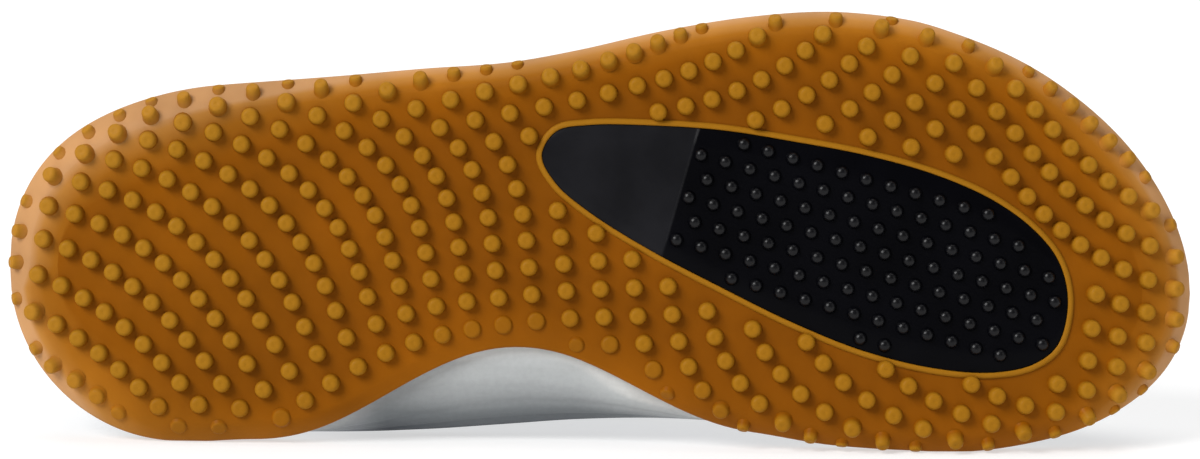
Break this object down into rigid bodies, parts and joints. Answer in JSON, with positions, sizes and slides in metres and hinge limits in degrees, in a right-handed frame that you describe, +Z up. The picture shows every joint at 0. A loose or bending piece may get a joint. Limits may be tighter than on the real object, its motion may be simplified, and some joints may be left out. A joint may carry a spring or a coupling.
{
  "type": "turf shoe",
  "caption": "Low-cut turf shoe for the right foot, lying on its inner side, with a studded gum outsole, foam midsole and laced hollow upper.",
  "frame": {"origin": "on the floor under the middle of the shoe as it lies on its inner side", "axes": "+X from heel to toe, +Y from the sole's underside towards the collar, +Z up, towards the shoe's outer side"},
  "size_m": [0.3, 0.1226, 0.1105],
  "materials": {
    "gum_rubber": "satin gum rubber, amber with ochre studs",
    "black_rubber": "satin black rubber",
    "foam": "matte light grey moulded foam",
    "upper_cloth": "matte light grey mesh and synthetic",
    "tongue_cloth": "matte light grey padded cloth",
    "insole_cloth": "matte grey cloth on foam",
    "lace": "flat woven lace"
  },
  "bodies": {
    "root": {"outsole": "gum_rubber", "sole_pad": "black_rubber", "midsole": "foam", "upper": "upper_cloth", "tongue": "tongue_cloth", "insole": "insole_cloth", "laces": "lace"}
  },
  "joints": []
}
